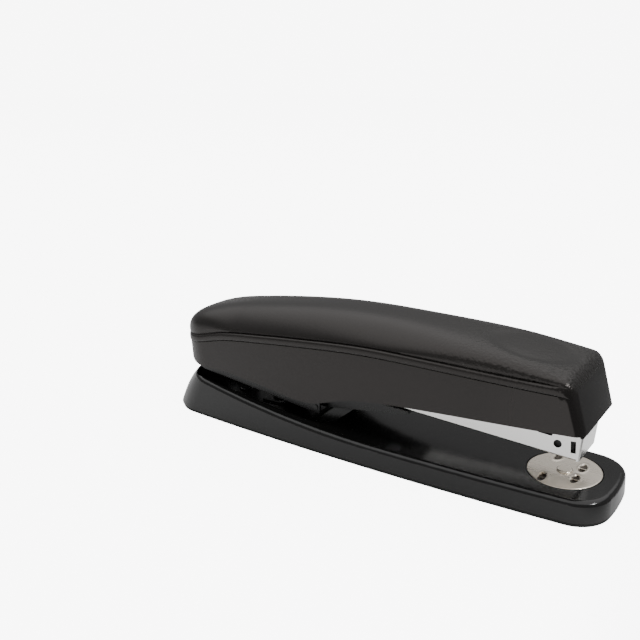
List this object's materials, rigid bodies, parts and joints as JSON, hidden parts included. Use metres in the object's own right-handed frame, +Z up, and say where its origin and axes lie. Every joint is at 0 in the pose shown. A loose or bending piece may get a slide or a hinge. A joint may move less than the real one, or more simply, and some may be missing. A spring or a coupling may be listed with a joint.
{
  "type": "stapler",
  "caption": "Full-strip desk stapler: long gloss-black cap and base on one rear hinge, a bright sprung magazine between them, and a round turning anvil in the deck",
  "frame": {"origin": "on the table, under the middle of the base's length and width", "axes": "+X from the hinge to the nose, +Y to the left, +Z up from the table"},
  "size_m": [0.165, 0.0378, 0.0465],
  "materials": {
    "cap_plastic": "gloss black moulded plastic with a fine grain",
    "base_plastic": "gloss black moulded plastic",
    "sole_rubber": "matt black rubber",
    "black_steel": "semi-gloss black painted steel",
    "plated_steel": "bright nickel-plated sheet steel",
    "anvil_nickel": "bright nickel plate, slightly warm",
    "spring_steel": "drawn spring steel",
    "zinc_steel": "zinc-plated steel",
    "hard_steel": "hardened ground steel"
  },
  "bodies": {
    "base": {"base_shell": "base_plastic", "base_sole": "sole_rubber", "base_plate": "zinc_steel", "base_screws": "zinc_steel", "hinge_bracket": "black_steel", "hinge_pin": "zinc_steel", "pin_clips": "spring_steel", "return_spring": "black_steel", "bracket_rivets": "black_steel"},
    "anvil": {"anvil_plate": "anvil_nickel", "anvil_rivet": "anvil_nickel", "anvil_washer": "spring_steel", "anvil_button": "base_plastic"},
    "magazine": {"magazine_channel": "plated_steel", "nose_plate": "plated_steel", "rear_cover": "plated_steel", "staple_rail": "plated_steel", "guide_rod": "zinc_steel", "magazine_carrier": "black_steel", "magazine_rivets": "zinc_steel", "follower_spring": "spring_steel"},
    "follower": {"follower": "zinc_steel"},
    "handle": {"cap_shell": "cap_plastic", "handle_frame": "zinc_steel", "cap_screws": "zinc_steel", "driver_blade": "hard_steel", "driver_rivet": "zinc_steel", "handle_spring": "spring_steel", "leaf_rivet": "zinc_steel"}
  },
  "joints": [
    {"name": "magazine_tilt", "type": "hinge", "parent": "base", "child": "magazine", "pos_m": [-0.065, 0, 0.02], "axis": [0, 1, 0], "range_deg": [0, 2.8], "stiffness_Nm_per_rad": 6, "springref_deg": -3.44, "deforming": ["return_spring"]},
    {"name": "handle_swing", "type": "hinge", "parent": "magazine", "child": "handle", "pos_m": [-0.065, 0, 0.02], "axis": [0, 1, 0], "range_deg": [-27, 3.2]},
    {"name": "follower_slide", "type": "slide", "parent": "magazine", "child": "follower", "axis": [0.999, 0, -0.0436], "range_m": [-0.106, 0], "stiffness_N_per_m": 20, "springref_m": 0.05, "deforming": ["follower_spring"]},
    {"name": "anvil_turn", "type": "hinge", "parent": "base", "child": "anvil", "pos_m": [0.0655, 0, 0.0078], "axis": [0, 0, 1], "range_deg": [0, 180]}
  ]
}
